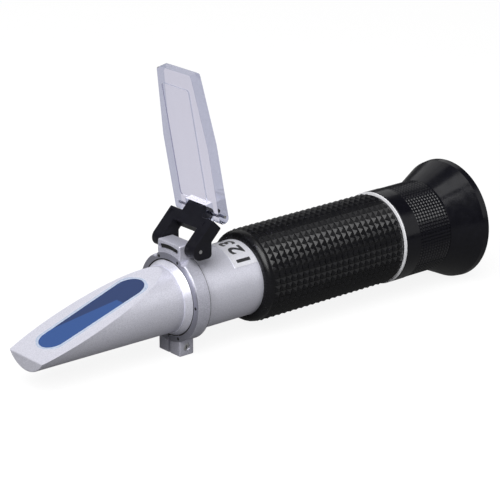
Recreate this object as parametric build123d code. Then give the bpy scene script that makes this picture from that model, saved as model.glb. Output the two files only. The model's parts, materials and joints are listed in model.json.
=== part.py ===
from build123d import *
from math import asin, atan2, cos, degrees, hypot, radians, sin, sqrt, tan
import os

# Handheld optical refractometer, in millimetres.
# The optical axis is X. The eyecup is at +X, the measuring prism at -X, the hinge on top at +Z.
# The origin is on the optical axis, inside the throat of the eyecup.

# Fits and clearances
running_gap = 0.05        # radial gap of a sliding or turning fit
seat_gap = 0.1            # gap where two faces must not rub
side_gap = 0.3            # gap beside a hinge knuckle or a lug

# Eyecup
cup_length = 12.8         # from the focus ring to the rim
cup_root_r = 15.0         # flare, at the focus ring
cup_rim_r = 20.0
cup_rim_band = 2.4        # nearly straight band behind the rim
cup_rim_draft = 0.25      # radius lost along that band
cup_rim_wall = 1.4
cup_spigot_r = 11.5       # spigot pressed into the focus ring
cup_spigot_length = 2.5
throat_r = 8.0            # open throat that the eye looks through
throat_lip = 2.0          # throat length behind the flare's root
cup_floor_r = 9.6         # where the inner cone starts
cup_edge_fillet = 0.5

# Focus ring
ring_r = 15.25
ring_length = 20.0
smooth_band = 6.2         # smooth front band
ring_groove = 0.35        # width and depth of the lines round the ring
knurl_r = 15.15
ring_web = 1.5            # rear web that traps the eyepiece tube
ring_web_bore_r = 8.6

# Eyepiece guide sleeve and trim ring
guide_r = 12.6            # outside thread of the guide sleeve
guide_end_gap = 1.2       # from that thread's end to the capture ring
guide_spigot_length = 13.4
trim_width = 0.5
trim_gap = 0.1            # gap to the focus ring when it is screwed in
seal_groove_r = 11.9
seal_groove_width = 0.8
seal_groove_place = 3.6   # from the sleeve's shoulder

# Eyepiece tube and its lenses
eyepiece_r = 9.15
eyepiece_bore_r = 7.8
eyepiece_insert = 10.4    # how far the tube reaches ahead of the sleeve's shoulder
eyepiece_stop_r = 7.0     # front shoulder and spacer bore
eyepiece_shoulder = 1.0
flange_r = 12.0
flange_width = 1.5
capture_width = 1.6
field_lens_edge = 1.6
eye_lens_edge = 2.2
lens_bulge = 0.9          # how far a curved face stands out of its seat
retainer_width = 1.4
retainer_bore_r = 6.6
focus_travel = 3.75       # outward travel of the eyepiece
focus_turn = 270          # degrees of the ring for that travel
key_r = 0.8
key_place = 6.4           # from the sleeve's shoulder

# Grip and main tube
grip_r = 15.2
grip_length = 57.65
grip_lip_r = 2.4
tube_r = 12.1
tube_bore_r = 10.6
tube_bare_length = 22.7   # between the grip and the collar
label_thickness = 0.12
label_half_angle = 51.0
label_length = 8.9
label_gap = 0.4           # from the grip's lip

# Clamp collar, hinge block and lug
collar_r = 14.15
collar_width = 4.9
collar_tube_lap = 0.35    # the main tube starts this far inside the collar
spanner_hole_r = 0.52
spanner_circle_r = 13.05
spanner_hole_depth = 1.6
spanner_angles = (20, 90, 160)
slit_width = 1.0
block_half_width = 5.4
block_front = 0.1         # the block stands ahead of the collar by this much
block_length = 5.95
block_top = 17.65
block_fillet = 0.5
block_slot_r = 16.15
block_slot_half = 0.7
block_slot_angle = 14.0
block_slot_depth = 1.0
lug_half_width = 5.2
lug_length = 5.5
lug_front = 0.2
lug_bottom = 18.2         # below the axis
lug_fillet = 0.5
clamp_screw_z = 15.55     # below the axis
clamp_shank_r = 0.8
clamp_head_r = 1.2
clamp_head_length = 1.6
clamp_head_sink = 0.35
clamp_socket_r = 0.62

# Prism housing
neck_length = 2.35        # cone between body and collar
neck_rear_r = 11.9
neck_front_r = 10.75
body_length = 51.3
body_rear_r = 10.5
body_tip_r = 10.05
slant_angle = 18.0
slant_lead = 1.3          # the slanted face runs out this far ahead of the neck
spigot_length = 12.0
channel_r = 8.4           # light channel
window_start = 8.2        # along the slanted face, from its upper end
window_length = 37.65
window_top_half = 5.75
window_tip_half = 5.15
window_corner_r = 3.3
seal_width = 0.55
seal_depth = 1.0
prism_floor = 6.2         # below the axis
prism_exit = 5.2          # exit face, ahead of the neck
pocket_gap = 0.05
body_edge_fillet = 0.35
grub_r = 1.0
grub_place = 2.1          # behind the flange's rear face
grub_length = 3.0

# Hinge and cover
pin_x = 4.25              # main pin, behind the collar's front face
pin_z = 16.3
pin_r = 0.6
bracket_half = 10.15
bracket_lean = 45.2       # open position, degrees from the axis
bracket_front = 2.72      # pin to the bracket's front face
bracket_back = 1.5        # pin to the bracket's back face
bracket_height = 9.75
window_sill = 5.8         # pin to the crossbar
foot_x = 4.25
foot_z = 2.72
foot_rise = 2.05
foot_fillet = 1.3
bracket_fillet = 0.4
mark_r = 1.05
mark_depth = 0.15
mark_half = 8.0
mark_height = 7.7
link_x = 9.2              # second pin from the main pin, cover open
link_z = 9.2
knuckle_r = 1.6
tongue_half = 4.6
tongue_reach = 0.56       # the tongue's end ahead of the second pin
plate_pin_r = 0.5
plate_lean = 10.8         # open position, degrees from upright
plate_half = 10.6
plate_tip_half = 8.0
plate_thickness = 3.6
plate_pin_depth = 2.3     # second pin to the plate's inner face
plate_reach = 46.4        # second pin to the plate's tip
plate_taper_start = 23.5
plate_tail = 2.0
plate_corner_r = 1.2
plate_tail_fillet = 1.5
plate_bevel = 0.35
notch_depth = 3.4
pad_height = 0.5
pad_start = 4.6
pad_reach = 41.7
pad_half = 6.3
pad_corner_r = 1.0
pad_gap = 0.1             # pad to the prism when the cover is shut

# Objective, calibration and temperature compensation
cell_r = 7.2
cell_bore_r = 6.5
cell_stop_r = 5.8
cell_length = 6.0
cell_shoulder = 1.1
cell_place = 4.5          # cell front, behind the flange's rear face
objective_edge = 2.2
objective_bulge = 1.1
cell_flat = 0.35          # depth of the flats at the cell's top and bottom
strip_thickness = 0.5
strip_width = 5.0
strip_length = 17.0
strip_lap = 3.4           # how much of the strip lies on the cell
strip_block_length = 4.5
strip_screw_r = 0.8
strip_screw_head_r = 1.5
strip_screw_head = 0.8
calibration_x = 7.7       # behind the flange's rear face
bush_r = 2.0
bush_stand = 0.3          # above the tube
calibration_r = 1.2
calibration_stand = 0.35  # above the bush
calibration_slot = 0.4

# Baffle and scale reticle
baffle_place = 35.0       # behind the flange's rear face
baffle_width = 1.2
baffle_bore_r = 6.0
holder_length = 8.0
holder_bore_r = 9.0
holder_stop_r = 8.2
holder_shoulder = 1.5
reticle_thickness = 1.2
reticle_ring_width = 1.2
reticle_ring_bore_r = 8.2

# Stations along the axis, from the origin forwards
ring_front = -ring_length
trim_rear = ring_front - trim_gap
shoulder = trim_rear - trim_width
grip_front = shoulder - grip_length
collar_rear = grip_front - tube_bare_length
collar_front = collar_rear - collar_width
tube_front = collar_front + collar_tube_lap
neck_front = collar_front - neck_length
body_tip = neck_front - body_length
eyepiece_rear = -cup_spigot_length - ring_web - seat_gap
eyepiece_front = shoulder - eyepiece_insert
capture_rear = eyepiece_rear - flange_width - seat_gap
guide_rear = capture_rear - capture_width - guide_end_gap
slant_x = neck_front - slant_lead
slant_z = body_rear_r
cell_front = tube_front + cell_place
calibration_station = tube_front + calibration_x

# Hinge points, cover open
main_pin = (collar_front + pin_x, pin_z)
link_length = hypot(link_x, link_z)
link_open = degrees(atan2(link_z, link_x))
plate_pin = (main_pin[0] + link_x, main_pin[1] + link_z)
plate_open = 90 + plate_lean
plate_shut = 180 + slant_angle
slant_rise = (main_pin[0] - slant_x) * tan(radians(slant_angle))
pin_height = (pin_z - slant_z - slant_rise) * cos(radians(slant_angle))
plate_pin_height = pad_gap + pad_height + plate_pin_depth
link_shut = plate_shut + degrees(asin((pin_height - plate_pin_height) / link_length))
bracket_swing = link_shut - link_open
plate_fold = bracket_swing - (plate_shut - plate_open)


def turned(x, points):
    """A solid of revolution about the optical axis from (station, radius) points."""
    outline = Plane.XZ * make_face(Polyline(*points, close=True))
    return Pos(x, 0, 0) * revolve(outline, Axis.X)


def tube_between(x0, x1, outer, inner=0):
    """A plain cylinder or ring about the optical axis."""
    ring = Circle(outer)
    if inner:
        ring -= Circle(inner)
    return extrude(Plane((x0, 0, 0), z_dir=(1, 0, 0)) * ring, x1 - x0)


def side_plane(x, z, angle):
    """A plane parallel to XZ whose own x runs at an angle from +X towards +Z."""
    a = radians(angle)
    return Plane((x, 0, z), x_dir=(cos(a), 0, sin(a)), z_dir=(0, -1, 0))


def cross_pin(x, z, r, y0, y1):
    """A cylinder along Y."""
    return extrude(Plane((x, y0, z), z_dir=(0, 1, 0)) * Circle(r), y1 - y0)


def slab(x0, x1, y0, y1, z0, z1):
    """A block between two corners."""
    return Pos((x0 + x1) / 2, (y0 + y1) / 2, (z0 + z1) / 2) * Box(x1 - x0, y1 - y0, z1 - z0)


def post(x, r, z0, z1):
    """A cylinder along Z that crosses the optical axis."""
    return Pos(x, 0, z0) * Cylinder(r, z1 - z0, align=(Align.CENTER, Align.CENTER, Align.MIN))


def lens(x0, edge, r, face_r, bulge):
    """A plano-convex lens from x0, with a flat seat round its curved face, which points to x0 + edge."""
    x1 = x0 + edge
    ball = (face_r**2 + bulge**2) / (2 * bulge)
    halfway = ball - sqrt(ball**2 - face_r**2 / 4)
    rim = Polyline((x0, 0), (x0, r), (x1, r), (x1, face_r))
    curve = ThreePointArc((x1, face_r), (x1 + bulge - halfway, face_r / 2), (x1 + bulge, 0))
    axis = Line((x1 + bulge, 0), (x0, 0))
    return revolve(Plane.XZ * make_face([rim, curve, axis]), Axis.X)


def slant_plane(height=0):
    """The plane of the slanted face. Its own x runs down the slope, its z points out of the face."""
    a = radians(slant_angle)
    origin = (slant_x - sin(a) * height, 0, slant_z + cos(a) * height)
    return Plane(origin, x_dir=(-cos(a), 0, -sin(a)), z_dir=(-sin(a), 0, cos(a)))


def above_slant(height=0):
    """Everything above a plane parallel to the slanted face."""
    reach = 2 * body_length
    return extrude(slant_plane(height) * Rectangle(2 * reach, reach), reach)


def window_outline(grow=0):
    """The rounded window outline on the slanted face, wider at the neck than at the tip."""
    top = window_start - grow
    end = window_start + window_length + grow
    corners = [(top, window_top_half + grow), (end, window_tip_half + grow)]
    corners += [(end, -window_tip_half - grow), (top, -window_top_half - grow)]
    face = make_face(Polyline(*corners, close=True))
    return fillet(face.vertices(), window_corner_r + grow)


def prism_shape(grow=0):
    """The wedge under the window: slanted top, level floor and upright exit face."""
    depth = 2 * body_rear_r + prism_floor
    wedge = extrude(slant_plane() * window_outline(grow), -depth)
    exit_x = neck_front - prism_exit
    return wedge & slab(body_tip, exit_x, -body_rear_r, body_rear_r, -prism_floor, 2 * body_rear_r)


def prism_housing():
    """Tapered body with the slanted window, neck cone, flange and a spigot into the main tube."""
    spigot_rear = tube_front + spigot_length
    outline = [(body_tip, 0), (body_tip, body_tip_r), (neck_front, body_rear_r)]
    outline += [(neck_front, neck_front_r), (collar_front, neck_rear_r), (tube_front, neck_rear_r)]
    outline += [(tube_front, tube_bore_r), (spigot_rear, tube_bore_r), (spigot_rear, 0)]
    body = turned(0, outline) - above_slant()
    tip_edges = body.edges().group_by(Axis.X)[0]
    body = fillet(tip_edges, body_edge_fillet)
    body -= prism_shape(pocket_gap)
    body -= extrude(slant_plane() * window_outline(seal_width), -seal_depth)
    exit_x = neck_front - prism_exit
    body -= tube_between(exit_x - seat_gap, spigot_rear, channel_r)
    body -= grub_screws()
    return body - post(calibration_station, bush_r, 0, tube_r)


def main_prism():
    """Glass wedge, flush with the slanted face."""
    return prism_shape()


def prism_seal():
    """Sealant rim that fills the step round the glass."""
    rim = window_outline(seal_width) - window_outline(0)
    return extrude(slant_plane() * rim, -seal_depth)


def block_slot():
    """Curved slot in the front face of the hinge block."""
    front = collar_front - block_front
    half = radians(block_slot_angle)
    ring = Circle(block_slot_r + block_slot_half) - Circle(block_slot_r - block_slot_half)
    reach = 2 * block_slot_r
    wedge = make_face(Polyline((0, 0), (reach, reach * tan(half)), (reach, -reach * tan(half)), close=True))
    slot = ring & wedge
    for side in (1, -1):
        slot += Pos(block_slot_r * cos(half), side * block_slot_r * sin(half)) * Circle(block_slot_half)
    face = Plane((front, 0, 0), x_dir=(0, 0, 1), z_dir=(1, 0, 0))
    return extrude(face * slot, block_slot_depth)


def hinge_block():
    """Block on top of the collar that carries the main pin."""
    front = collar_front - block_front
    block = slab(front, front + block_length, -block_half_width, block_half_width, 0, block_top)
    block = fillet(block.edges().filter_by(Axis.Z), block_fillet)
    top = block.edges().group_by(Axis.Z)[-1]
    block = fillet(top, block_fillet)
    return block - block_slot() - cross_pin(*main_pin, pin_r + running_gap, -bracket_half, bracket_half)


def clamp_lug():
    """Lug under the collar that the clamp screw closes."""
    front = collar_front - lug_front
    lug = slab(front, front + lug_length, -lug_half_width, lug_half_width, -lug_bottom, 0)
    return fillet(lug.edges().filter_by(Axis.Z) + lug.edges().group_by(Axis.Z)[0], lug_fillet)


def clamp_screw_line():
    """Place of the clamp screw: its x and z."""
    return (collar_front - lug_front + lug_length / 2, -clamp_screw_z)


def clamp_collar():
    """Split collar with hinge block, clamp lug and spanner holes, in one casting."""
    collar = tube_between(collar_front, collar_rear, collar_r)
    collar = chamfer(collar.edges().filter_by(GeomType.CIRCLE), block_fillet / 2)
    relief = above_slant(pad_gap) - slab(body_tip, 0, -block_half_width, block_half_width, 0, 2 * collar_r)
    collar -= relief
    collar += hinge_block() + clamp_lug()
    reach = collar_front - lug_front - block_front
    collar -= tube_between(reach, grip_front, tube_r)
    collar -= slab(reach, grip_front, -slit_width / 2, slit_width / 2, -lug_bottom, 0)
    screw_x, screw_z = clamp_screw_line()
    head_seat = -lug_half_width + clamp_head_sink + clamp_head_length
    collar -= cross_pin(screw_x, screw_z, clamp_shank_r, -lug_half_width, lug_half_width - clamp_head_sink)
    collar -= cross_pin(screw_x, screw_z, clamp_head_r + running_gap, -lug_half_width, head_seat)
    for angle in spanner_angles:
        for side in (1, -1):
            place = Rot(X=side * angle) * Pos(collar_front, 0, spanner_circle_r) * Rot(Y=90)
            hole = Cylinder(spanner_hole_r, spanner_hole_depth, align=(Align.CENTER, Align.CENTER, Align.MIN))
            collar -= place * hole
    return collar


def clamp_screw():
    """Socket head screw across the split lug."""
    x, z = clamp_screw_line()
    head_out = -lug_half_width + clamp_head_sink
    screw = cross_pin(x, z, clamp_head_r, head_out, head_out + clamp_head_length)
    screw += cross_pin(x, z, clamp_shank_r, head_out, lug_half_width - clamp_head_sink)
    socket = Plane((x, head_out, z), z_dir=(0, 1, 0)) * RegularPolygon(clamp_socket_r, 6)
    return screw - extrude(socket, clamp_head_length / 2)


def grub_screws():
    """Three grub screws under the collar that hold the prism housing in the main tube."""
    x = tube_front + grub_place
    one = Pos(x, 0, tube_r - grub_length) * Cylinder(
        grub_r, grub_length - seat_gap, align=(Align.CENTER, Align.CENTER, Align.MIN)
    )
    return Compound([Rot(X=angle) * one for angle in (60, 180, 300)])


def main_tube():
    """Tube from the collar to the eyepiece shoulder."""
    tube = tube_between(tube_front, shoulder, tube_r, tube_bore_r)
    tube -= grub_screws()
    return tube - post(calibration_station, bush_r, 0, 2 * tube_r)


def scale_label():
    """Thin label bent round the top of the bare tube."""
    x0 = grip_front - label_gap - label_length
    sheet = tube_between(x0, grip_front - label_gap, tube_r + label_thickness, tube_r)
    half = radians(label_half_angle)
    reach = 2 * tube_r
    edge = (reach * sin(half), reach * cos(half))
    keep = make_face(Polyline((0, 0), edge, (0, reach), (-edge[0], edge[1]), close=True))
    fan = extrude(Plane((x0, 0, 0), x_dir=(0, 1, 0), z_dir=(1, 0, 0)) * keep, label_length)
    return sheet & fan


def lens_cell():
    """Cell of the objective, with flats where the strip and the calibration screw meet it."""
    x0 = cell_front
    cell = tube_between(x0, x0 + cell_length, cell_r, cell_bore_r)
    cell += tube_between(x0, x0 + cell_shoulder, cell_r, cell_stop_r)
    for side in (1, -1):
        flat = sorted((side * (cell_r - cell_flat), side * (cell_r + cell_flat)))
        cell -= slab(x0, x0 + cell_length, -cell_r, cell_r, flat[0], flat[1])
    return cell


def objective_lens():
    """Objective, its flat face on the cell's shoulder."""
    return lens(cell_front + cell_shoulder, objective_edge, cell_bore_r, cell_stop_r, objective_bulge)


def cell_retainer():
    """Ring that holds the objective in its cell."""
    x0 = cell_front + cell_shoulder + objective_edge
    return tube_between(x0, cell_front + cell_length, cell_bore_r, cell_stop_r)


def strip_start():
    """Station where the compensator strip starts, on the cell."""
    return cell_front + cell_length - strip_lap


def strip_end():
    """Station where the compensator strip ends, on its block."""
    return strip_start() + strip_length


def strip_top():
    """Level of the strip's upper face, on the cell's lower flat."""
    return -(cell_r - cell_flat)


def compensator_strip():
    """Bimetal strip that carries the cell and bends with temperature."""
    low = strip_top() - strip_thickness
    strip = slab(strip_start(), strip_end(), -strip_width / 2, strip_width / 2, low, strip_top())
    return strip - post(strip_end() - strip_block_length / 2, strip_screw_r, low, strip_top())


def strip_block():
    """Block on the tube wall under the strip's fixed end."""
    low = strip_top() - strip_thickness
    x0 = strip_end() - strip_block_length
    block = slab(x0, strip_end(), -strip_width / 2, strip_width / 2, -tube_bore_r, low)
    block = block & tube_between(x0, strip_end(), tube_bore_r)
    return block - post(strip_end() - strip_block_length / 2, strip_screw_r, low - 1.5, low)


def strip_screw():
    """Screw that clamps the strip to its block."""
    x = strip_end() - strip_block_length / 2
    low = strip_top() - strip_thickness
    screw = post(x, strip_screw_r, low - 1.5, strip_top())
    screw += post(x, strip_screw_head_r, strip_top(), strip_top() + strip_screw_head)
    return screw


def calibration_bush():
    """Threaded bush through the tube and the spigot."""
    bush = post(calibration_station, bush_r, channel_r, tube_r + bush_stand)
    return bush - post(calibration_station, calibration_r + running_gap, 0, 2 * tube_r)


def calibration_screw():
    """Slotted screw that presses on the cell and sets the zero."""
    top = tube_r + bush_stand + calibration_stand
    screw = post(calibration_station, calibration_r, cell_r - cell_flat + running_gap, top)
    slot = Box(calibration_slot, 2 * calibration_r, 2 * calibration_slot)
    return screw - Pos(calibration_station, 0, top) * slot


def light_baffle():
    """Ring that stops stray light inside the tube."""
    x0 = tube_front + baffle_place
    return tube_between(x0, x0 + baffle_width, tube_bore_r, baffle_bore_r)


def holder_front():
    """Front of the reticle holder, which butts on the guide sleeve."""
    return shoulder - guide_spigot_length - holder_length


def reticle_holder():
    """Holder of the scale reticle."""
    x0 = holder_front()
    holder = tube_between(x0, x0 + holder_length, tube_bore_r, holder_bore_r)
    return holder + tube_between(x0, x0 + holder_shoulder, tube_bore_r, holder_stop_r)


def scale_reticle():
    """Glass disc that carries the scale."""
    x0 = holder_front() + holder_shoulder
    return tube_between(x0, x0 + reticle_thickness, holder_bore_r)


def reticle_retainer():
    """Ring that holds the reticle."""
    x0 = holder_front() + holder_shoulder + reticle_thickness
    return tube_between(x0, x0 + reticle_ring_width, holder_bore_r, reticle_ring_bore_r)


def grip_sleeve():
    """Rubber sleeve with a rounded front lip."""
    sleeve = tube_between(grip_front, shoulder, grip_r)
    lip = sleeve.edges().group_by(Axis.X)[0]
    sleeve = fillet(lip, grip_lip_r)
    return sleeve - tube_between(grip_front, shoulder, tube_r)


def trim_ring():
    """Bright ring between the grip and the focus ring."""
    return tube_between(shoulder, trim_rear, ring_r, guide_r)


def guide_bore():
    """Bore radius of the guide sleeve."""
    return eyepiece_r + running_gap


def guide_sleeve():
    """Sleeve in the tube's end: the focus ring turns on it, the eyepiece tube slides in it."""
    sleeve = tube_between(shoulder - guide_spigot_length, guide_rear, tube_bore_r, guide_bore())
    sleeve += tube_between(shoulder, guide_rear, guide_r, guide_bore())
    return sleeve - friction_ring() - guide_key()


def friction_ring():
    """Square rubber ring in the sleeve's groove that makes the focus ring turn stiffly."""
    groove = shoulder + seal_groove_place
    return tube_between(groove, groove + seal_groove_width, guide_r, seal_groove_r)


def guide_key():
    """Key screw that keeps the eyepiece tube from turning."""
    x = shoulder - key_place
    return post(x, key_r, eyepiece_bore_r + (eyepiece_r - eyepiece_bore_r) / 4, tube_bore_r - seat_gap)


def eyepiece_tube():
    """Sliding tube that holds the eyepiece lenses, slotted for the key."""
    tube = tube_between(eyepiece_front, eyepiece_rear, eyepiece_r, eyepiece_bore_r)
    tube += tube_between(eyepiece_front, eyepiece_front + eyepiece_shoulder, eyepiece_r, eyepiece_stop_r)
    tube += tube_between(eyepiece_rear - flange_width, eyepiece_rear, flange_r, eyepiece_bore_r)
    slot_half = key_r + running_gap
    key_x = shoulder - key_place
    slot = slab(key_x - focus_travel - slot_half, key_x + slot_half, -slot_half, slot_half, 0, 2 * eyepiece_r)
    slot = fillet(slot.edges().filter_by(Axis.Z), slot_half * 0.98)
    return tube - slot


def field_lens_front():
    """Front edge station of the field lens."""
    return eyepiece_front + eyepiece_shoulder


def eye_lens_front():
    """Front edge station of the eye lens."""
    return eyepiece_rear - retainer_width - eye_lens_edge


def field_lens():
    """Lens at the front of the eyepiece tube."""
    return lens(field_lens_front(), field_lens_edge, eyepiece_bore_r, eyepiece_stop_r, lens_bulge)


def lens_spacer():
    """Tube that keeps the two eyepiece lenses apart."""
    x0 = field_lens_front() + field_lens_edge
    return tube_between(x0, eye_lens_front(), eyepiece_bore_r, eyepiece_stop_r)


def eye_lens():
    """Lens next to the eye."""
    return lens(eye_lens_front(), eye_lens_edge, eyepiece_bore_r, retainer_bore_r, lens_bulge)


def lens_retainer():
    """Ring that holds the eye lens."""
    x0 = eye_lens_front() + eye_lens_edge
    return tube_between(x0, eyepiece_rear, eyepiece_bore_r, retainer_bore_r)


def focus_ring():
    """Ring that turns on the guide sleeve: smooth band in front, knurled band behind."""
    bore = guide_r + running_gap
    ring = tube_between(ring_front, ring_front + smooth_band, ring_r)
    ring += tube_between(ring_front, 0, knurl_r - ring_groove)
    ring += tube_between(ring_front + smooth_band + ring_groove, -ring_groove, knurl_r)
    ring -= tube_between(ring_front, eyepiece_rear + seat_gap, bore)
    ring -= tube_between(-cup_spigot_length, 0, cup_spigot_r)
    return ring - tube_between(ring_front, 0, ring_web_bore_r)


def capture_ring():
    """Threaded ring that traps the eyepiece tube's flange in the focus ring."""
    bore = guide_bore() + seat_gap
    return tube_between(capture_rear - capture_width, capture_rear, guide_r + running_gap, bore)


def eyecup():
    """Flared cup with a pressed-in spigot, open throat and rounded rim."""
    band = cup_length - cup_rim_band
    outline = [(-cup_spigot_length, 0), (-cup_spigot_length, cup_spigot_r), (0, cup_spigot_r)]
    outline += [(0, cup_root_r), (band, cup_rim_r - cup_rim_draft), (cup_length, cup_rim_r), (cup_length, 0)]
    cup = turned(0, outline)
    rim = cup.edges().group_by(Axis.X)[-1]
    cup = fillet(rim, cup_edge_fillet)
    mouth_r = cup_rim_r - cup_rim_wall
    hollow = [(throat_lip, 0), (throat_lip, cup_floor_r), (cup_length, mouth_r), (2 * cup_length, mouth_r)]
    hollow += [(2 * cup_length, 0)]
    cup -= turned(0, hollow)
    return cup - tube_between(-cup_spigot_length, cup_length, throat_r)


def bracket_side(y_half):
    """Side profile of the bracket's legs and crossbar, as a solid between -y_half and y_half."""
    across = (bracket_front - bracket_back) / 2
    thickness = bracket_front + bracket_back
    arm = Pos(bracket_height / 2, across) * Rectangle(bracket_height, thickness)
    arm = fillet(arm.vertices().group_by(Axis.X)[-1], bracket_fillet)
    lobe = Circle(bracket_front)
    foot = Pos(foot_x / 2, (foot_rise - foot_z) / 2) * Rectangle(foot_x, foot_rise + foot_z)
    corner = foot.vertices().sort_by(lambda v: v.X - v.Y)[-1]
    foot = fillet(corner, foot_fillet)
    profile = arm + lobe + Rot(Z=-bracket_lean) * foot
    return extrude(side_plane(*main_pin, bracket_lean) * profile, y_half, both=True)


def tongue():
    """Tongue that carries the second pin, its front flush with the bracket's front face."""
    turn = link_open - bracket_lean
    pin_u = link_length * cos(radians(turn))
    pin_v = link_length * sin(radians(turn))
    end_u = pin_u + tongue_reach
    root = bracket_height - bracket_fillet * 2
    outline = [(root, -bracket_back), (pin_u, pin_v - knuckle_r), (pin_u + knuckle_r, pin_v)]
    outline += [(end_u, bracket_front), (root, bracket_front)]
    profile = make_face(Polyline(*outline, close=True))
    profile += Pos(pin_u, pin_v) * Circle(knuckle_r)
    return extrude(side_plane(*main_pin, bracket_lean) * profile, tongue_half, both=True)


def hinge_bracket():
    """Black bracket: two legs on the main pin, a crossbar and the tongue."""
    bracket = bracket_side(bracket_half)
    gap = block_half_width + side_gap
    sill = window_sill + bracket_front * 2
    opening = Pos(window_sill - sill / 2, 0) * Rectangle(sill, 4 * bracket_front + foot_x)
    opening += Rot(Z=-bracket_lean) * Pos(foot_x / 2, 0) * Rectangle(foot_x + 1, 2 * foot_z + 1)
    bracket -= extrude(side_plane(*main_pin, bracket_lean) * opening, gap, both=True)
    bracket += tongue()
    bracket -= cross_pin(*main_pin, pin_r, -bracket_half, bracket_half)
    bracket -= cross_pin(*plate_pin, plate_pin_r + running_gap, -bracket_half, bracket_half)
    a = radians(bracket_lean)
    front_x = main_pin[0] + mark_height * cos(a) - bracket_front * sin(a)
    front_z = main_pin[1] + mark_height * sin(a) + bracket_front * cos(a)
    for side in (1, -1):
        spot = Plane((front_x, side * mark_half, front_z), z_dir=(-sin(a), 0, cos(a))) * Circle(mark_r)
        bracket -= extrude(spot, -mark_depth)
    return bracket


def hinge_pin():
    """Main pin, tight in the bracket's legs and free in the hinge block."""
    return cross_pin(*main_pin, pin_r, -bracket_half, bracket_half)


def plate_plane(depth=0):
    """Plane of the cover plate's inner face, moved inwards by depth. Its own x runs to the tip."""
    a = radians(plate_open)
    inner = plate_pin_depth - depth
    origin = (plate_pin[0] - sin(a) * inner, 0, plate_pin[1] + cos(a) * inner)
    return Plane(origin, x_dir=(cos(a), 0, sin(a)), z_dir=(-sin(a), 0, cos(a)))


def plate_outline():
    """Plate outline: straight sides, then a taper to the tip."""
    points = [(-plate_tail, plate_half), (plate_taper_start, plate_half), (plate_reach, plate_tip_half)]
    points += [(x, -y) for x, y in reversed(points)]
    face = make_face(Polyline(*points, close=True))
    tip = face.vertices().group_by(Axis.X)[-1]
    return fillet(tip, plate_corner_r)


def cover_plate():
    """Clear plate with two ears round the tongue and a raised pad that presses the sample."""
    plate = extrude(plate_plane() * plate_outline(), -plate_thickness)
    lean = side_plane(*plate_pin, plate_open)
    tail_size = plate_tail + plate_reach
    side = Pos(tail_size / 2 - plate_tail, plate_pin_depth - plate_thickness / 2)
    side_face = side * Rectangle(tail_size, plate_thickness)
    side_face = fillet(side_face.vertices().group_by(Axis.X)[0], plate_tail_fillet)
    side_face = chamfer(side_face.vertices().group_by(Axis.X)[-1], plate_bevel)
    plate = plate & extrude(lean * side_face, plate_half, both=True)
    notch_length = plate_tail + notch_depth
    notch = Pos(notch_length / 2 - plate_tail, 0) * Rectangle(notch_length, 4 * plate_thickness)
    plate -= extrude(lean * notch, tongue_half + side_gap, both=True)
    pad_length = pad_reach - pad_start
    pad = Pos(pad_start + pad_length / 2, 0) * RectangleRounded(pad_length, 2 * pad_half, pad_corner_r)
    plate += extrude(plate_plane() * pad, pad_height)
    return plate - cross_pin(*plate_pin, plate_pin_r, -plate_half, plate_half)


def plate_pin_solid():
    """Second pin, tight in the plate's ears and free in the tongue."""
    return cross_pin(*plate_pin, plate_pin_r, -plate_half, plate_half)


parts = {
    "prism_housing": prism_housing,
    "main_prism": main_prism,
    "prism_seal": prism_seal,
    "clamp_collar": clamp_collar,
    "clamp_screw": clamp_screw,
    "housing_grub_screws": grub_screws,
    "main_tube": main_tube,
    "scale_label": scale_label,
    "lens_cell": lens_cell,
    "objective_lens": objective_lens,
    "cell_retainer": cell_retainer,
    "compensator_strip": compensator_strip,
    "strip_block": strip_block,
    "strip_screw": strip_screw,
    "calibration_bush": calibration_bush,
    "calibration_screw": calibration_screw,
    "light_baffle": light_baffle,
    "reticle_holder": reticle_holder,
    "scale_reticle": scale_reticle,
    "reticle_retainer": reticle_retainer,
    "grip_sleeve": grip_sleeve,
    "trim_ring": trim_ring,
    "guide_sleeve": guide_sleeve,
    "friction_ring": friction_ring,
    "guide_key": guide_key,
    "eyepiece_tube": eyepiece_tube,
    "field_lens": field_lens,
    "lens_spacer": lens_spacer,
    "eye_lens": eye_lens,
    "lens_retainer": lens_retainer,
    "focus_ring": focus_ring,
    "capture_ring": capture_ring,
    "eyecup": eyecup,
    "hinge_bracket": hinge_bracket,
    "hinge_pin": hinge_pin,
    "cover_plate": cover_plate,
    "cover_pin": plate_pin_solid,
}

os.makedirs("parts", exist_ok=True)
for name, make in parts.items():
    solid = make()
    solid.label = name
    export_step(solid, f"parts/{name}.step")

print("main pin x, z:", main_pin)
print("cover pin x, z:", plate_pin)
print("bracket swing, plate fold, degrees:", round(bracket_swing, 4), round(plate_fold, 4))
print("plate ratio:", round(-plate_fold / bracket_swing, 6))
print("focus ratio, metres per radian:", round(focus_travel / 1000 / radians(focus_turn), 9))
print("slanted face origin x, z:", round(slant_x, 4), round(slant_z, 4))
print("overall length:", round(cup_length - body_tip, 2))
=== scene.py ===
import json
from math import atan2, cos, pi, radians, sin

import bmesh
import bpy
from mathutils import Matrix, Vector


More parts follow.
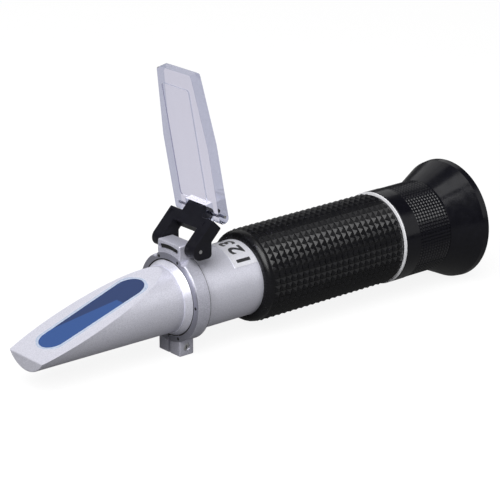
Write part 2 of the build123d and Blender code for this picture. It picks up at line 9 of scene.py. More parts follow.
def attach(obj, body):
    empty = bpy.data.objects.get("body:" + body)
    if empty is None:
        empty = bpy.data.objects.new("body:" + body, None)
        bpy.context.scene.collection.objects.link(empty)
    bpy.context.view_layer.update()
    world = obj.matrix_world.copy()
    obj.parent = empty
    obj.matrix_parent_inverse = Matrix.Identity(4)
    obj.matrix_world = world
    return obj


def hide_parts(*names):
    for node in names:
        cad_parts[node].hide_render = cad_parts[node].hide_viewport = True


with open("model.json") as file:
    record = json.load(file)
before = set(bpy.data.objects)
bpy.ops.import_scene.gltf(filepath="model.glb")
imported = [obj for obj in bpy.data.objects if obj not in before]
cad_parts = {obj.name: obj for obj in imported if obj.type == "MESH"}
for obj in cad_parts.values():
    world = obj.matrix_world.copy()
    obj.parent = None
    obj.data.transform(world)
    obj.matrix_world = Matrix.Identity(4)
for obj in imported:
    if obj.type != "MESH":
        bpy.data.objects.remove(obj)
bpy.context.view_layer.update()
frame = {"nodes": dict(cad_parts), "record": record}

# Sizes in this script are in millimetres unless a name says otherwise; the scene is in metres.
MM = 0.001

# Camera, solved from the round edges of the object in the photograph
CAMERA_TARGET = (-73.58, 0.0, 7.89)
CAMERA_AZIMUTH = radians(-40.26)
CAMERA_ELEVATION = radians(19.43)
CAMERA_DISTANCE = 752.01
CAMERA_LENS = 173.56
SENSOR = 36.0
NEAR_CLIP_METRES = 0.01

# Floor: its grey, the white that it adds for the camera, and the share of that which a gloss mirrors
FLOOR_ALBEDO = 0.16
FLOOR_GLOW = 0.88
FLOOR_MIRRORED = 0.08
FLOOR_METRES = 12
FLOOR_DROP = 0.02

# Strength of the world's light on the object, and the point that the lamps face
WORLD_DIM = 0.06
LAMP_AIM = (-75, 0, 0)

# The object lies on its clamp lug and on the rim of the eyecup
LUG_X, LUG_Z = -103.3, -18.2
CUP_X, CUP_Z = 12.4, -19.94

# Grip: smooth front lip, then square pyramids
GRIP_FRONT, GRIP_REAR = -78.25, -20.6
GRIP_BORE = 12.1
GRIP_CREST = 15.02
GRIP_VALLEY = 14.4
GRIP_COLUMNS = 23
GRIP_ROWS = 42
PYRAMID_FRONT, PYRAMID_REAR = -75.6, -21.0
PYRAMID_PHASE = radians(3.2)
LIP_R = 14.7
LIP_FILLET = 2.4
LIP_STEPS = 10
GROOVE_FRONT, GROOVE_REAR = PYRAMID_FRONT - 0.35, PYRAMID_FRONT - 0.15
GROOVE_LIP_R, GROOVE_R = LIP_R - 0.05, GRIP_VALLEY - 0.1

# Focus ring: smooth band in front, fine square studs behind
RING_FRONT, RING_REAR = -20.0, 0.0
RING_R = 15.25
RING_EDGE = 0.25
SMOOTH_REAR = -13.8
LINE_WIDTH = 0.1
STUD_FRONT, STUD_REAR = -13.75, -0.22
STUD_R = 15.15
STUD_FLOOR = 14.9
STUD_COLUMNS = 11
STUD_ROWS = 85
STUD_PHASE = radians(0.5)
STUD_TOP = 0.56
RING_BORE = 12.65

# Numerals on the label of the bare tube
TUBE_R = 12.1
LABEL_SKIN = 0.12
NUMERALS = "12345"
NUMERAL_HEIGHT = 5.0
NUMERAL_STEP = radians(21.0)
NUMERAL_CENTRE = -82.9
NUMERAL_WEIGHT = 0.22
CAPITAL_SHARE = 0.7
STRIP_WIDTH, STRIP_COUNT = 0.4, 8
INK = 0.02

# Shadow seen in the prism's glass: its edge runs down the window, and across it under the roof
SHADE_X, SHADE_Y = -149.36, 5.51
SHADE_SLOPE = 0.3276
SHADE_ROOF_X = -127.2
SHADE_BLUR = 0.45

# Tilt of the clear plate where it stands open
PLATE_OPEN = radians(100.8)

# Front rim of the collar, with its spanner holes and the clamp slit
RIM_FRONT, RIM_BACK = -106.14, -105.85
RIM_INNER_R, RIM_OUTER_R = 12.25, 14.1
RIM_BEVEL = 0.12
RIM_SLIT = radians(2.2)
RIM_STEPS = 160
HOLE_R = 0.5
HOLE_CIRCLE_R = 13.05
HOLE_ANGLES = (20, 90, 160, -20, -90, -160)
HOLE_SIDES = 20

# Beside the hinge block the rim stays under this height, because the bracket's legs swing in there
RELIEF_HALF, RELIEF_Z = 5.4, 11.45

# Range that most of a noise lies in, and the share of it that mottles the prism and streaks the plate
NOISE_LOW, NOISE_HIGH = 0.3, 0.7
MOTTLE_SHARE = 0.12
STREAK_SHARE = 0.25

# Points of a mesh that are closer than this become one
MERGE_METRES = 1e-7

# Window in the slanted face, measured down the slope from its upper end
SLANT = radians(18.0)
SLANT_X, SLANT_Z = -109.5, 10.5
GLASS_TOP, GLASS_TIP = 7.6, 46.5
GLASS_TOP_HALF, GLASS_TIP_HALF = 5.15, 4.65
WINDOW_STEPS = 40
SEAL_WIDTH = 0.8
SEAL_INNER_EDGE, SEAL_OUTER_EDGE = 0.05, 0.1
GLASS_RISE = 0.03
SEAL_RISE = 0.04

# Painted shadow in the slot of the hinge block's front, and thin rings of painted shadow in the gaps round
# the collar
SLOT_X = -105.7
SLOT_R, SLOT_HALF = 16.15, 0.62
SLOT_ANGLE = radians(13.6)
JOINT_X = -106.0
JOINT_INNER_R, JOINT_OUTER_R = 11.75, 12.25
SEAM_X, SEAM_WIDTH = -100.97, 0.1
SEAM_R = 14.16
SEAM_INNER_R = SEAM_R - 0.05
SHADOW_DEPTH = 0.02
ARC_STEPS = 96


def mm(x, y, z):
    """A point in metres from millimetres."""
    return Vector((x, y, z)) * MM


def around(x, r, angle):
    """A point at a station and radius, the angle counted from +Z towards the camera's side."""
    return mm(x, -r * sin(angle), r * cos(angle))


def new_object(name, mesh, body, slot, material, *nodes):
    """Link a finished mesh as a piece that rides on a body and stands for CAD nodes."""
    piece = bpy.data.objects.new(name, mesh)
    bpy.context.scene.collection.objects.link(piece)
    mesh.materials.append(material)
    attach(piece, body)
    if nodes:
        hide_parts(*nodes)
    return piece


def mesh_from(name, bm, smooth_angle=None):
    """Turn a bmesh into a mesh with outward normals, smooth below an angle."""
    bmesh.ops.remove_doubles(bm, verts=bm.verts, dist=MERGE_METRES)
    bmesh.ops.recalc_face_normals(bm, faces=bm.faces)
    if smooth_angle is not None:
        for face in bm.faces:
            face.smooth = True
        for edge in bm.edges:
            if len(edge.link_faces) == 2 and edge.calc_face_angle() > smooth_angle:
                edge.smooth = False
    mesh = bpy.data.meshes.new(name)
    bm.to_mesh(mesh)
    bm.free()
    return mesh


# Materials

class Shader:
    """A node material with short calls for the nodes that the finishes share."""

    def __init__(self, name):
        self.material = bpy.data.materials.new(name)
        self.material.use_nodes = True
        self.tree = self.material.node_tree
        self.bsdf = self.tree.nodes["Principled BSDF"]
        self.place = self.add("ShaderNodeTexCoord").outputs["Object"]

    def add(self, kind, **settings):
        """Add a node and set its properties."""
        node = self.tree.nodes.new(kind)
        for key, value in settings.items():
            setattr(node, key, value)
        return node

    def link(self, source, socket):
        """Link an output to an input."""
        self.tree.links.new(source, socket)

    def set(self, **values):
        """Set the shader's own sockets, an underscore standing for a space."""
        for key, value in values.items():
            self.bsdf.inputs[key.replace("_", " ")].default_value = value

    def noise(self, size, detail=2.0, roughness=0.5, stretch=(1, 1, 1)):
        """Noise with features of a size in millimetres."""
        mapping = self.add("ShaderNodeMapping")
        mapping.inputs["Scale"].default_value = stretch
        self.link(self.place, mapping.inputs["Vector"])
        node = self.add("ShaderNodeTexNoise")
        node.inputs["Scale"].default_value = 1 / (size * MM)
        node.inputs["Detail"].default_value = detail
        node.inputs["Roughness"].default_value = roughness
        self.link(mapping.outputs["Vector"], node.inputs["Vector"])
        return node.outputs["Fac"]

    def ramp(self, value, low, high):
        """Map noise to the colours between two ends."""
        node = self.add("ShaderNodeValToRGB")
        node.color_ramp.elements[0].position = NOISE_LOW
        node.color_ramp.elements[1].position = NOISE_HIGH
        node.color_ramp.elements[0].color = (*low, 1)
        node.color_ramp.elements[1].color = (*high, 1)
        self.link(value, node.inputs["Fac"])
        return node.outputs["Color"]

    def spread(self, value, low, high):
        """Map noise to a range of numbers."""
        node = self.add("ShaderNodeMapRange")
        node.inputs["From Min"].default_value = NOISE_LOW
        node.inputs["From Max"].default_value = NOISE_HIGH
        node.inputs["To Min"].default_value = low
        node.inputs["To Max"].default_value = high
        self.link(value, node.inputs["Value"])
        return node.outputs["Result"]

    def sum(self, first, first_scale, second, second_scale, offset):
        """A weighted sum of two values and an offset."""
        left = self.add("ShaderNodeMath", operation="MULTIPLY_ADD")
        left.inputs[1].default_value = first_scale
        left.inputs[2].default_value = offset
        self.link(first, left.inputs[0])
        right = self.add("ShaderNodeMath", operation="MULTIPLY_ADD")
        right.inputs[1].default_value = second_scale
        self.link(second, right.inputs[0])
        self.link(left.outputs[0], right.inputs[2])
        return right.outputs[0]

    def edge(self, distance, blur):
        """A soft step from 0 to 1 where a distance passes zero."""
        node = self.add("ShaderNodeMapRange", interpolation_type="SMOOTHSTEP")
        node.inputs["From Min"].default_value = -blur * MM
        node.inputs["From Max"].default_value = blur * MM
        self.link(distance, node.inputs["Value"])
        return node.outputs["Result"]

    def bump(self, height, depth):
        """Bump of a depth in millimetres."""
        node = self.add("ShaderNodeBump")
        node.inputs["Distance"].default_value = depth * MM
        node.inputs["Strength"].default_value = 1.0
        self.link(height, node.inputs["Height"])
        self.link(node.outputs["Normal"], self.bsdf.inputs["Normal"])


def blasted_metal(name, dark, light, rough, metallic=0.5):
    """Bead-blasted and anodised aluminium: fine speckle and faint cloudy patches."""
    s = Shader(name)
    speckle = s.noise(0.28, 3.0, 0.65)
    s.link(s.ramp(speckle, dark, light), s.bsdf.inputs["Base Color"])
    s.link(s.spread(s.noise(3.0, 2.0), rough - 0.04, rough + 0.05), s.bsdf.inputs["Roughness"])
    s.bump(speckle, 0.012)
    s.set(Metallic=metallic)
    return s.material


def moulded_black(name, colour, rough, grain, depth):
    """Black rubber or plastic with a fine moulded grain and slightly uneven gloss."""
    s = Shader(name)
    light = tuple(c * 1.5 for c in colour)
    s.link(s.ramp(s.noise(grain * 6, 3.0), colour, light), s.bsdf.inputs["Base Color"])
    s.link(s.spread(s.noise(grain * 10, 2.0), rough - 0.04, rough + 0.06), s.bsdf.inputs["Roughness"])
    s.bump(s.noise(grain, 2.0), depth)
    s.set(Specular_IOR_Level=0.3)
    return s.material


def prism_blue():
    """Blue glass: its lit floor shows light, and the shadow of its far wall and roof shows dark."""
    s = Shader("prism_blue")
    s.set(Roughness=0.06, IOR=1.52, Specular_IOR_Level=0.2)
    split = s.add("ShaderNodeSeparateXYZ")
    s.link(s.place, split.inputs["Vector"])
    wall_offset = (SHADE_Y + SHADE_SLOPE * SHADE_X) * MM
    wall = s.sum(split.outputs["X"], -SHADE_SLOPE, split.outputs["Y"], -1.0, wall_offset)
    roof = s.sum(split.outputs["X"], -1.0, split.outputs["Y"], 0.0, SHADE_ROOF_X * MM)
    lit = s.add("ShaderNodeMath", operation="MINIMUM")
    s.link(s.edge(wall, SHADE_BLUR), lit.inputs[0])
    s.link(s.edge(roof, SHADE_BLUR), lit.inputs[1])
    mottle = s.add("ShaderNodeMath", operation="MULTIPLY_ADD")
    mottle.inputs[1].default_value = MOTTLE_SHARE
    s.link(s.noise(2.5, 3.0), mottle.inputs[0])
    s.link(lit.outputs[0], mottle.inputs[2])
    blues = s.ramp(mottle.outputs[0], (0.016, 0.036, 0.118), (0.023, 0.070, 0.230))
    s.link(blues, s.bsdf.inputs["Base Color"])
    return s.material


def sealant_grey():
    """Pale sealant round the glass."""
    s = Shader("sealant_grey")
    s.link(s.ramp(s.noise(0.8, 3.0), (0.36, 0.42, 0.54), (0.46, 0.52, 0.64)), s.bsdf.inputs["Base Color"])
    s.set(Roughness=0.45)
    return s.material


def clear_acrylic():
    """Clear acrylic with a faint lilac tint, darker where the light leaves through a narrow side."""
    s = Shader("clear_acrylic")
    s.set(Roughness=0.02, IOR=1.12, Transmission_Weight=1.0, Coat_Weight=0.6, Coat_Roughness=0.02)
    across = s.add("ShaderNodeVectorMath", operation="DOT_PRODUCT")
    s.link(s.add("ShaderNodeTexCoord").outputs["Normal"], across.inputs[0])
    across.inputs[1].default_value = (-sin(PLATE_OPEN), 0, cos(PLATE_OPEN))
    flat = s.add("ShaderNodeMath", operation="ABSOLUTE")
    s.link(across.outputs["Value"], flat.inputs[0])
    streak = s.noise(0.9, 2.0, 0.5, (1, 1, 0.08))
    mix = s.add("ShaderNodeMath", operation="MULTIPLY_ADD")
    mix.inputs[1].default_value = STREAK_SHARE
    s.link(streak, mix.inputs[0])
    s.link(flat.outputs[0], mix.inputs[2])
    s.link(s.ramp(mix.outputs[0], (0.33, 0.35, 0.46), (0.60, 0.59, 0.69)), s.bsdf.inputs["Base Color"])
    return s.material


def lens_glass():
    """Clear glass of the lenses, with a faint tint."""
    s = Shader("lens_glass_clear")
    s.set(Base_Color=(0.80, 0.90, 0.92, 1), Roughness=0.02, IOR=1.52, Transmission_Weight=1.0)
    s.bump(s.noise(9.0, 1.0), 0.002)
    return s.material


def machined_steel():
    """Bright steel with a fine grain."""
    s = Shader("machined_steel")
    s.link(s.ramp(s.noise(0.3, 3.0), (0.55, 0.55, 0.56), (0.72, 0.72, 0.73)), s.bsdf.inputs["Base Color"])
    s.set(Metallic=1.0, Roughness=0.28)
    s.bump(s.noise(0.12, 2.0), 0.004)
    return s.material


def plain_brass():
    """Plain brass with faint patches."""
    s = Shader("plain_brass")
    s.link(s.ramp(s.noise(1.0, 3.0), (0.55, 0.42, 0.16), (0.68, 0.54, 0.24)), s.bsdf.inputs["Base Color"])
    s.set(Metallic=1.0, Roughness=0.35)
    return s.material


def label_film():
    """Silver film of the label."""
    s = Shader("label_film")
    s.link(s.ramp(s.noise(0.5, 3.0), (0.74, 0.74, 0.80), (0.84, 0.84, 0.90)), s.bsdf.inputs["Base Color"])
    s.set(Metallic=0.3, Roughness=0.42)
    s.bump(s.noise(0.2, 2.0), 0.003)
    return s.material


def bright_trim():
    """Bright pale ring."""
    s = Shader("bright_trim")
    s.link(s.ramp(s.noise(0.6, 2.0), (0.86, 0.86, 0.89), (0.92, 0.92, 0.95)), s.bsdf.inputs["Base Color"])
    s.set(Metallic=0.1, Roughness=0.3)
    return s.material


def printed_ink():
    """Dark print, slightly uneven."""
    s = Shader("printed_ink")
    darks = s.ramp(s.noise(0.4, 3.0), (0.010, 0.010, 0.012), (0.03, 0.03, 0.035))
    s.link(darks, s.bsdf.inputs["Base Color"])
    s.set(Roughness=0.5)
    return s.material


# One finish for each of the record's material slots, and a darker copy of the collar's metal for the
# collar's front rim, painted shade on that face
finishes = {
    "housing_metal": blasted_metal("housing_metal_blasted", (0.62, 0.62, 0.71), (0.88, 0.88, 0.98), 0.40),
    "collar_metal": blasted_metal("collar_metal_blasted", (0.46, 0.46, 0.54), (0.72, 0.72, 0.82), 0.36),
    # Darker copy of the collar metal: painted shade on the front face of the collar's rim
    "rim_shaded_metal": blasted_metal("collar_rim_shaded_metal", (0.24, 0.24, 0.29), (0.40, 0.40, 0.47), 0.34, 0.7),
    "tube_metal": blasted_metal("tube_metal_satin", (0.64, 0.64, 0.73), (0.88, 0.88, 0.98), 0.40),
    "prism_glass": prism_blue(),
    "sealant": sealant_grey(),
    "label": label_film(),
    "trim": bright_trim(),
    "grip_rubber": moulded_black("grip_rubber_black", (0.004, 0.004, 0.005), 0.26, 0.25, 0.004),
    "ring_black": moulded_black("ring_black_satin", (0.003, 0.003, 0.005), 0.18, 0.2, 0.0015),
    "cup_black": moulded_black("cup_black_satin", (0.004, 0.004, 0.006), 0.20, 0.3, 0.002),
    "bracket_black": moulded_black("bracket_black_satin", (0.005, 0.005, 0.008), 0.40, 0.2, 0.008),
    "clear_plate": clear_acrylic(),
    "steel": machined_steel(),
    "brass": plain_brass(),
    "inner_black": moulded_black("inner_black_matt", (0.010, 0.010, 0.010), 0.6, 0.3, 0.004),
    "lens_glass": lens_glass(),
}


def dress_nodes():
    """Give every CAD node the finish of its slot."""
    for part in frame["record"]["subparts"]:
        data = frame["nodes"][part["node"]].data
        material = finishes[part["material_slot"]]
        if data.materials:
            for i in range(len(data.materials)):
                data.materials[i] = material
        else:
            data.materials.append(material)


# Grip and focus ring

def ring_of(bm, x, r, count, phase):
    """One ring of points about the axis."""
    return [bm.verts.new(around(x, r, phase + 2 * pi * i / count)) for i in range(count)]


def bridge(bm, first, second):
    """Quads between two rings of the same count."""
    count = len(first)
    for i in range(count):
        j = (i + 1) % count
        bm.faces.new((first[i], first[j], second[j], second[i]))


def grip_mesh():
    """Rubber sleeve: rounded lip, a fine groove, then square pyramids, and a plain bore."""
    bm = bmesh.new()
    profile = [(GRIP_FRONT, GRIP_BORE)]
    for i in range(LIP_STEPS + 1):
        a = pi / 2 * i / LIP_STEPS
        profile.append((GRIP_FRONT + LIP_FILLET * (1 - cos(a)), LIP_R - LIP_FILLET * (1 - sin(a))))
    profile += [(GROOVE_FRONT, GROOVE_LIP_R), (GROOVE_REAR, GROOVE_R)]
    rings = [ring_of(bm, x, r, GRIP_ROWS, PYRAMID_PHASE) for x, r in profile]
    pitch = (PYRAMID_REAR - PYRAMID_FRONT) / GRIP_COLUMNS
    valleys = [ring_of(bm, PYRAMID_FRONT + pitch * k, GRIP_VALLEY, GRIP_ROWS, PYRAMID_PHASE)
               for k in range(GRIP_COLUMNS + 1)]
    tail = [ring_of(bm, GRIP_REAR, r, GRIP_ROWS, PYRAMID_PHASE) for r in (GRIP_VALLEY, GRIP_BORE)]
    for a, b in zip(rings, rings[1:]):
        bridge(bm, a, b)
    bridge(bm, rings[-1], valleys[0])
    for k in range(GRIP_COLUMNS):
        x = PYRAMID_FRONT + pitch * (k + 0.5)
        for i in range(GRIP_ROWS):
            j = (i + 1) % GRIP_ROWS
            angle = PYRAMID_PHASE + 2 * pi * (i + 0.5) / GRIP_ROWS
            apex = bm.verts.new(around(x, GRIP_CREST, angle))
            corners = (valleys[k][i], valleys[k][j], valleys[k + 1][j], valleys[k + 1][i])
            for m in range(4):
                bm.faces.new((corners[m], corners[(m + 1) % 4], apex))
    bridge(bm, valleys[-1], tail[0])
    bridge(bm, tail[0], tail[1])
    bridge(bm, tail[1], rings[0])
    return mesh_from("grip_pyramids", bm, radians(25))


def focus_ring_mesh():
    """Focus ring: smooth band, fine line, then truncated square studs, and a plain bore."""
    bm = bmesh.new()
    count = STUD_ROWS
    pitch = (STUD_REAR - STUD_FRONT) / STUD_COLUMNS
    step = 2 * pi / count
    half_gap = (1 - STUD_TOP) / 2
    plain = (STUD_FLOOR, STUD_FLOOR, STUD_FLOOR)
    studded = (STUD_FLOOR, STUD_R, STUD_R)
    profile = [(RING_FRONT, RING_BORE), (RING_FRONT, RING_R - RING_EDGE), (RING_FRONT + RING_EDGE, RING_R),
               (SMOOTH_REAR - LINE_WIDTH, RING_R), (SMOOTH_REAR, STUD_FLOOR)]
    stations = [(x, (r, r, r)) for x, r in profile]
    for k in range(STUD_COLUMNS):
        x0 = STUD_FRONT + pitch * k
        stations += [(x0, plain), (x0 + pitch * half_gap, studded), (x0 + pitch * (1 - half_gap), studded)]
    stations += [(STUD_REAR, plain), (RING_REAR, plain), (RING_REAR, (RING_BORE, RING_BORE, RING_BORE))]
    first_angle = STUD_PHASE - step / 2
    rings = [stud_ring(bm, x, radii, first_angle, count, half_gap) for x, radii in stations]
    for a, b in zip(rings, rings[1:]):
        bridge(bm, a, b)
    bridge(bm, rings[-1], rings[0])
    return mesh_from("focus_ring_studs", bm, radians(20))


def stud_ring(bm, x, radii, start, count, half_gap):
    """A ring with three points a row: the valley, and the two edges of a stud's top."""
    step = 2 * pi / count
    points = []
    for i in range(count):
        a = start + step * i
        points.append(bm.verts.new(around(x, radii[0], a)))
        points.append(bm.verts.new(around(x, radii[1], a + step * half_gap)))
        points.append(bm.verts.new(around(x, radii[2], a + step * (1 - half_gap))))
    return points


def collar_rim():
    """Raised front rim of the collar, open at the clamp slit."""
    bm = bmesh.new()
    profile = [(RIM_BACK, RIM_INNER_R), (RIM_FRONT, RIM_INNER_R), (RIM_FRONT, RIM_OUTER_R - RIM_BEVEL),
               (RIM_FRONT + RIM_BEVEL, RIM_OUTER_R), (RIM_BACK, RIM_OUTER_R)]
    sweep = 2 * (pi - RIM_SLIT)
    rows = []
    for i in range(RIM_STEPS + 1):
        angle = -pi + RIM_SLIT + sweep * i / RIM_STEPS
        rows.append([bm.verts.new(relieved(around(x, r, angle))) for x, r in profile])
    for first, second in zip(rows, rows[1:]):
        for k in range(len(profile)):
            m = (k + 1) % len(profile)
            bm.faces.new((first[k], first[m], second[m], second[k]))
    bm.faces.new(rows[0])
    bm.faces.new(rows[-1])
    return mesh_from("collar_rim", bm, radians(30))


def relieved(point):
    """Keep a point under the relief that the bracket's legs swing into, beside the hinge block."""
    if abs(point.y) > RELIEF_HALF * MM:
        point.z = min(point.z, RELIEF_Z * MM)
    return point


def hole_shadows():
    """Dark mouths of the spanner holes."""
    bm = bmesh.new()
    turn = Matrix.Rotation(pi / 2, 4, "Y")
    for degrees in HOLE_ANGLES:
        place = Matrix.Translation(around(RIM_FRONT, HOLE_CIRCLE_R, radians(degrees)))
        bmesh.ops.create_cone(bm, cap_ends=True, segments=HOLE_SIDES, radius1=HOLE_R * MM,
                              radius2=HOLE_R * MM, depth=SHADOW_DEPTH * MM, matrix=place @ turn)
    return mesh_from("hole_shadows", bm)


def slant_point(s, y, rise):
    """A point on the slanted face, by its way down the slope and its side."""
    x = SLANT_X - s * cos(SLANT) - rise * sin(SLANT)
    return mm(x, y, SLANT_Z - s * sin(SLANT) + rise * cos(SLANT))


def window_loop(spread, rise):
    """Points round the window's glass, with full round ends, moved outwards by a spread."""
    points = []
    for s, half, inward in ((GLASS_TOP, GLASS_TOP_HALF, 1), (GLASS_TIP, GLASS_TIP_HALF, -1)):
        for k in range(WINDOW_STEPS + 1):
            turn = inward * (pi * k / WINDOW_STEPS - pi / 2)
            down = s + inward * half - inward * (half + spread) * cos(turn)
            points.append(slant_point(down, (half + spread) * sin(turn), rise))
    return points


def window_glass():
    """Top face of the glass in the window, a thin plate with full round ends."""
    bm = bmesh.new()
    upper = [bm.verts.new(p) for p in window_loop(0.0, GLASS_RISE)]
    lower = [bm.verts.new(p) for p in window_loop(0.0, 0.0)]
    bm.faces.new(upper)
    bm.faces.new(lower)
    bridge(bm, upper, lower)
    return mesh_from("window_glass", bm)


def window_seal():
    """Sealant bead round the glass."""
    bm = bmesh.new()
    section = ((0.0, 0.0), (SEAL_INNER_EDGE, SEAL_RISE), (SEAL_WIDTH - SEAL_OUTER_EDGE, SEAL_RISE),
               (SEAL_WIDTH, 0.0))
    loops = [[bm.verts.new(p) for p in window_loop(spread, rise)] for spread, rise in section]
    for k in range(len(section)):
        bridge(bm, loops[k], loops[(k + 1) % len(section)])
    return mesh_from("window_seal", bm)


def arc_plate(name, x, r0, r1, half_angle, depth=SHADOW_DEPTH):
    """A thin flat arc across the axis, centred on the top, or a full ring."""
    bm = bmesh.new()
    full = half_angle >= pi
    section = ((x, r0), (x - depth, r0), (x - depth, r1), (x, r1))
    rows = []
    for i in range(ARC_STEPS if full else ARC_STEPS + 1):
        angle = -half_angle + 2 * half_angle * i / ARC_STEPS
        rows.append([bm.verts.new(around(*p, angle)) for p in section])
    pairs = list(zip(rows, rows[1:])) + ([(rows[-1], rows[0])] if full else [])
    for first, second in pairs:
        for k in range(4):
            bm.faces.new((first[k], first[(k + 1) % 4], second[(k + 1) % 4], second[k]))
    if not full:
        bm.faces.new(rows[0])
        bm.faces.new(rows[-1])
    return mesh_from(name, bm)


def label_numbers():
    """Plain numerals on the label, bent round the tube and read from the camera's side over the top."""
    r = TUBE_R + LABEL_SKIN
    bm = bmesh.new()
    for i, numeral in enumerate(NUMERALS):
        angle = (len(NUMERALS) // 2 - i) * NUMERAL_STEP
        bend_numeral(bm, numeral, angle, r)
    mesh = bpy.data.meshes.new("label_numbers")
    bm.to_mesh(mesh)
    bm.free()
    return mesh


def bend_numeral(bm, numeral, angle, r):
    """Add one numeral to a mesh: a flat letter shape cut in strips and wrapped on the label."""
    curve = bpy.data.curves.new("numeral", "FONT")
    curve.body = numeral
    curve.align_x = "CENTER"
    curve.align_y = "CENTER"
    curve.size = NUMERAL_HEIGHT / CAPITAL_SHARE
    curve.offset = NUMERAL_WEIGHT
    curve.extrude = INK
    flat = bpy.data.objects.new("numeral", curve)
    bpy.context.scene.collection.objects.link(flat)
    bpy.context.view_layer.update()
    shape = bpy.data.meshes.new_from_object(flat)
    bpy.data.objects.remove(flat)
    strip = bmesh.new()
    strip.from_mesh(shape)
    for k in range(-STRIP_COUNT, STRIP_COUNT + 1):
        everything = strip.verts[:] + strip.edges[:] + strip.faces[:]
        cut = (k * STRIP_WIDTH, 0, 0)
        bmesh.ops.bisect_plane(strip, geom=everything, plane_co=cut, plane_no=(1, 0, 0))
    for vertex in strip.verts:
        u, v, w = vertex.co
        vertex.co = around(NUMERAL_CENTRE - v, r + w, angle - u / r)
    strip.to_mesh(shape)
    strip.free()
    bm.from_mesh(shape)
    bpy.data.meshes.remove(shape)


# Stage, camera and light

def floor_plane():
    """Pale floor under the clamp lug and the eyecup's rim."""
    slope = (CUP_Z - LUG_Z) / (CUP_X - LUG_X)
    bpy.ops.mesh.primitive_plane_add(size=FLOOR_METRES)
    floor = bpy.context.object
    floor.name = "floor"
    floor.rotation_euler = (0, -atan2(slope, 1), 0)
    floor.location = mm(LUG_X, 0, LUG_Z - FLOOR_DROP)
    material = bpy.data.materials.new("floor_white")
    material.use_nodes = True
    tree = material.node_tree
    for node in list(tree.nodes):
        tree.nodes.remove(node)
    out = tree.nodes.new("ShaderNodeOutputMaterial")
    diffuse = tree.nodes.new("ShaderNodeBsdfDiffuse")
    diffuse.inputs["Color"].default_value = (FLOOR_ALBEDO, FLOOR_ALBEDO, FLOOR_ALBEDO, 1)
    glow = tree.nodes.new("ShaderNodeEmission")
    total = tree.nodes.new("ShaderNodeAddShader")
    seen = seen_rays(tree, FLOOR_GLOW)
    tree.links.new(seen, glow.inputs["Strength"])
    tree.links.new(diffuse.outputs[0], total.inputs[0])
    tree.links.new(glow.outputs[0], total.inputs[1])
    tree.links.new(total.outputs[0], out.inputs["Surface"])
    floor.data.materials.append(material)


def seen_rays(tree, strength):
    """A strength for camera and transmission rays, and a share of it for glossy rays."""
    path = tree.nodes.new("ShaderNodeLightPath")
    mirrored = tree.nodes.new("ShaderNodeMath")
    mirrored.operation = "MULTIPLY"
    mirrored.inputs[1].default_value = FLOOR_MIRRORED
    tree.links.new(path.outputs["Is Glossy Ray"], mirrored.inputs[0])
    first = tree.nodes.new("ShaderNodeMath")
    first.operation = "MAXIMUM"
    second = tree.nodes.new("ShaderNodeMath")
    second.operation = "MAXIMUM"
    scale = tree.nodes.new("ShaderNodeMath")
    scale.operation = "MULTIPLY"
    scale.inputs[1].default_value = strength
    tree.links.new(path.outputs["Is Camera Ray"], first.inputs[0])
    tree.links.new(mirrored.outputs[0], first.inputs[1])
    tree.links.new(first.outputs[0], second.inputs[0])
    tree.links.new(path.outputs["Is Transmission Ray"], second.inputs[1])
    tree.links.new(second.outputs[0], scale.inputs[0])
    return scale.outputs[0]


def world_light():
    """White background for the camera, dim even light for the object."""
    world = bpy.data.worlds.new("studio")
    bpy.context.scene.world = world
    world.use_nodes = True
    tree = world.node_tree
    background = tree.nodes["Background"]
    path = tree.nodes.new("ShaderNodeLightPath")
    either = tree.nodes.new("ShaderNodeMath")
    either.operation = "MAXIMUM"
    mix = tree.nodes.new("ShaderNodeMapRange")
    mix.inputs["To Min"].default_value = WORLD_DIM
    mix.inputs["To Max"].default_value = 1.0
    tree.links.new(path.outputs["Is Camera Ray"], either.inputs[0])
    tree.links.new(path.outputs["Is Transmission Ray"], either.inputs[1])
    tree.links.new(either.outputs[0], mix.inputs["Value"])
    tree.links.new(mix.outputs["Result"], background.inputs["Strength"])
    background.inputs["Color"].default_value = (1, 1, 1, 1)


def area_light(name, direction, distance, size, power):
    """A rectangular lamp in a direction from the object, turned to face it."""
    data = bpy.data.lights.new(name, "AREA")
    data.shape = "RECTANGLE"
    data.size = size[0] * MM
    data.size_y = size[1] * MM
    data.energy = power
    lamp = bpy.data.objects.new(name, data)
    bpy.context.scene.collection.objects.link(lamp)
    away = Vector(direction).normalized()
    lamp.location = mm(*LAMP_AIM) + away * distance * MM
    lamp.rotation_euler = away.to_track_quat("Z", "Y").to_euler()


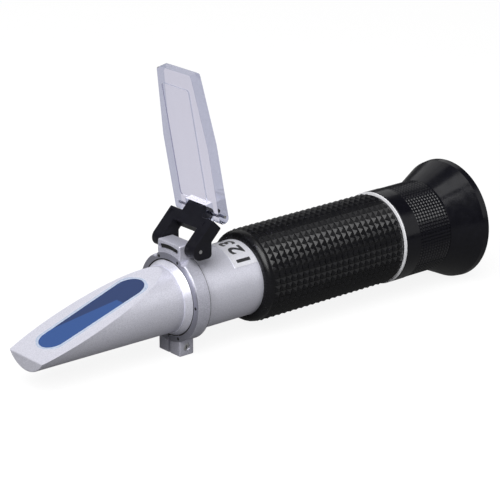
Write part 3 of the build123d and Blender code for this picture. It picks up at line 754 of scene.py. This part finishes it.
def add_camera():
    """Camera at the photograph's viewpoint."""
    ca, sa = cos(CAMERA_AZIMUTH), sin(CAMERA_AZIMUTH)
    ce, se = cos(CAMERA_ELEVATION), sin(CAMERA_ELEVATION)
    back = Vector((sa * ce, -ca * ce, se))
    right = Vector((ca, sa, 0))
    up = back.cross(right)
    data = bpy.data.cameras.new("camera")
    data.sensor_width = SENSOR
    data.lens = CAMERA_LENS
    data.clip_start = NEAR_CLIP_METRES
    camera = bpy.data.objects.new("camera", data)
    turn = Matrix((right, up, back)).transposed().to_4x4()
    camera.matrix_world = Matrix.Translation(mm(*CAMERA_TARGET) + back * CAMERA_DISTANCE * MM) @ turn
    bpy.context.scene.collection.objects.link(camera)
    bpy.context.scene.camera = camera


def add_moulded_rubber():
    """Grip sleeve and focus ring with their relief, in place of the plain nodes."""
    rubber, satin = finishes["grip_rubber"], finishes["ring_black"]
    new_object("grip_pyramids", grip_mesh(), "barrel", "grip_rubber", rubber, "grip_sleeve")
    new_object("focus_ring_studs", focus_ring_mesh(), "focus", "ring_black", satin, "focus_ring")


def add_barrel_details():
    """Print, rim and window of the barrel, and painted shadow in its spanner holes, the hinge block's slot
    and the gaps round the collar.
    """
    dark = finishes["inner_black"]
    slot = arc_plate("block_slot_shadow", SLOT_X, SLOT_R - SLOT_HALF, SLOT_R + SLOT_HALF, SLOT_ANGLE)
    # Thin ring of painted shadow in the gap between the neck and the collar's rim
    neck_gap_shade = arc_plate("neck_gap_shadow", JOINT_X, JOINT_INNER_R, JOINT_OUTER_R, pi)
    # Thin ring of painted shadow at the collar's rear edge, where the tube meets it
    seam_gap_shade = arc_plate("collar_seam_shadow", SEAM_X, SEAM_INNER_R, SEAM_R, pi, SEAM_WIDTH)
    new_object("label_numbers", label_numbers(), "barrel", "label", printed_ink())
    new_object("collar_rim", collar_rim(), "barrel", "collar_metal", finishes["rim_shaded_metal"])
    new_object("hole_shadows", hole_shadows(), "barrel", "inner_black", dark)
    new_object("window_glass", window_glass(), "barrel", "prism_glass", finishes["prism_glass"])
    new_object("window_seal", window_seal(), "barrel", "sealant", finishes["sealant"])
    new_object("block_slot_shadow", slot, "barrel", "inner_black", dark)
    new_object("neck_gap_shadow", neck_gap_shade, "barrel", "inner_black", dark)
    new_object("collar_seam_shadow", seam_gap_shade, "barrel", "inner_black", dark)


dress_nodes()
add_moulded_rubber()
add_barrel_details()
floor_plane()
world_light()
area_light("key", (-0.55, -0.42, 0.72), 1100, (950, 950), 18.5)
area_light("side_panel", (0.61, -0.65, 0.40), 800, (420, 560), 0.55)
area_light("back_panel", (0.35, 0.72, 0.60), 900, (900, 700), 1.1)
area_light("top_panel", (0.0, -0.12, 1.0), 800, (350, 350), 0.7)
add_camera()
bpy.context.scene.view_settings.view_transform = "Standard"
